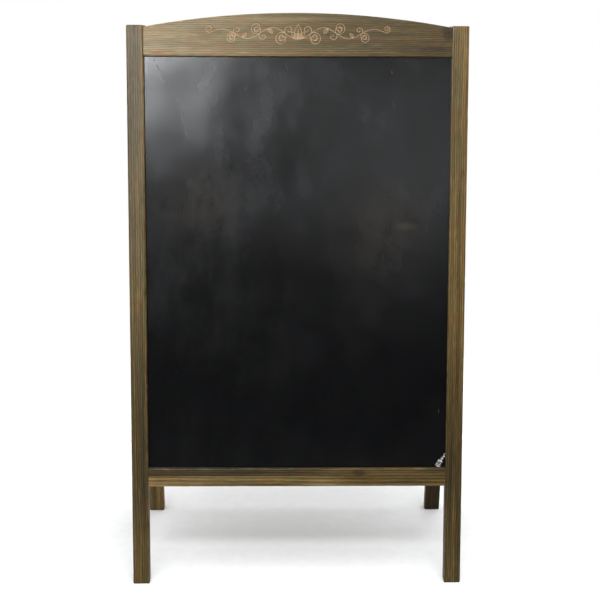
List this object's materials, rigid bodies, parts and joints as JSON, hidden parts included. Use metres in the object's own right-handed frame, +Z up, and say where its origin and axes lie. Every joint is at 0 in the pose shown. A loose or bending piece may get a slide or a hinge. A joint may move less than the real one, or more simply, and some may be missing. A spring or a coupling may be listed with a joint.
{
  "type": "folding menu chalkboard",
  "caption": "Double-sided folding A-frame menu board with arched timber frames and black writing panels.",
  "frame": {"origin": "on the floor midway between the four feet, below the hinge pins", "axes": "+X to the reader's right, +Y from the front frame to the rear frame, +Z up"},
  "size_m": [0.705, 0.4012, 1.1869],
  "materials": {
    "timber": "stained pine, worn satin",
    "dowel": "plain beech",
    "writing_surface": "hardboard painted matt black",
    "hinge": "zinc plated",
    "stay": "zinc plated",
    "fastener": "dull zinc plated"
  },
  "bodies": {
    "front_frame": {"front_bottom_rail": "timber", "front_chalkboard_panel": "writing_surface", "front_dowels": "dowel", "front_hinge_screws": "fastener", "front_left_stile": "timber", "front_lock_nuts": "fastener", "front_pivot_bolts": "fastener", "front_right_stile": "timber", "front_stay_washers": "fastener", "front_top_rail": "timber", "left_hinge_front_leaf": "hinge", "left_hinge_pin": "hinge", "right_hinge_front_leaf": "hinge", "right_hinge_pin": "hinge"},
    "rear_frame": {"left_hinge_rear_leaf": "hinge", "rear_bottom_rail": "timber", "rear_chalkboard_panel": "writing_surface", "rear_dowels": "dowel", "rear_hinge_screws": "fastener", "rear_left_stile": "timber", "rear_lock_nuts": "fastener", "rear_pivot_bolts": "fastener", "rear_right_stile": "timber", "rear_stay_washers": "fastener", "rear_top_rail": "timber", "right_hinge_rear_leaf": "hinge"},
    "left_front_stay_link": {"left_stay_front_link": "stay", "left_stay_front_rivet": "fastener"},
    "left_rear_stay_link": {"left_stay_rear_link": "stay", "left_stay_rear_rivet": "fastener"},
    "right_front_stay_link": {"right_stay_front_link": "stay", "right_stay_front_rivet": "fastener"},
    "right_rear_stay_link": {"right_stay_rear_link": "stay", "right_stay_rear_rivet": "fastener"}
  },
  "joints": [
    {"name": "rear_fold", "type": "hinge", "parent": "front_frame", "child": "rear_frame", "pos_m": [0, 0, 1.16919], "axis": [-1, 0, 0], "range_deg": [0, 16.8]},
    {"name": "left_front_stay_pivot", "type": "hinge", "parent": "front_frame", "child": "left_front_stay_link", "pos_m": [-0.314, -0.13716, 0.30192], "axis": [1, 0, 0], "range_deg": [0, 77.85]},
    {"name": "left_rear_stay_pivot", "type": "hinge", "parent": "rear_frame", "child": "left_rear_stay_link", "pos_m": [-0.314, 0.13716, 0.30192], "axis": [-1, 0, 0], "range_deg": [0, 77.85]},
    {"name": "right_front_stay_pivot", "type": "hinge", "parent": "front_frame", "child": "right_front_stay_link", "pos_m": [0.314, -0.13716, 0.30192], "axis": [1, 0, 0], "range_deg": [0, 77.85]},
    {"name": "right_rear_stay_pivot", "type": "hinge", "parent": "rear_frame", "child": "right_rear_stay_link", "pos_m": [0.314, 0.13716, 0.30192], "axis": [-1, 0, 0], "range_deg": [0, 77.85]}
  ],
  "couplings": [
    {"joint": "left_front_stay_pivot", "follows": "rear_fold", "ratio": 4.6332},
    {"joint": "left_rear_stay_pivot", "follows": "rear_fold", "ratio": 4.6332},
    {"joint": "right_front_stay_pivot", "follows": "rear_fold", "ratio": 4.6332},
    {"joint": "right_rear_stay_pivot", "follows": "rear_fold", "ratio": 4.6332}
  ]
}
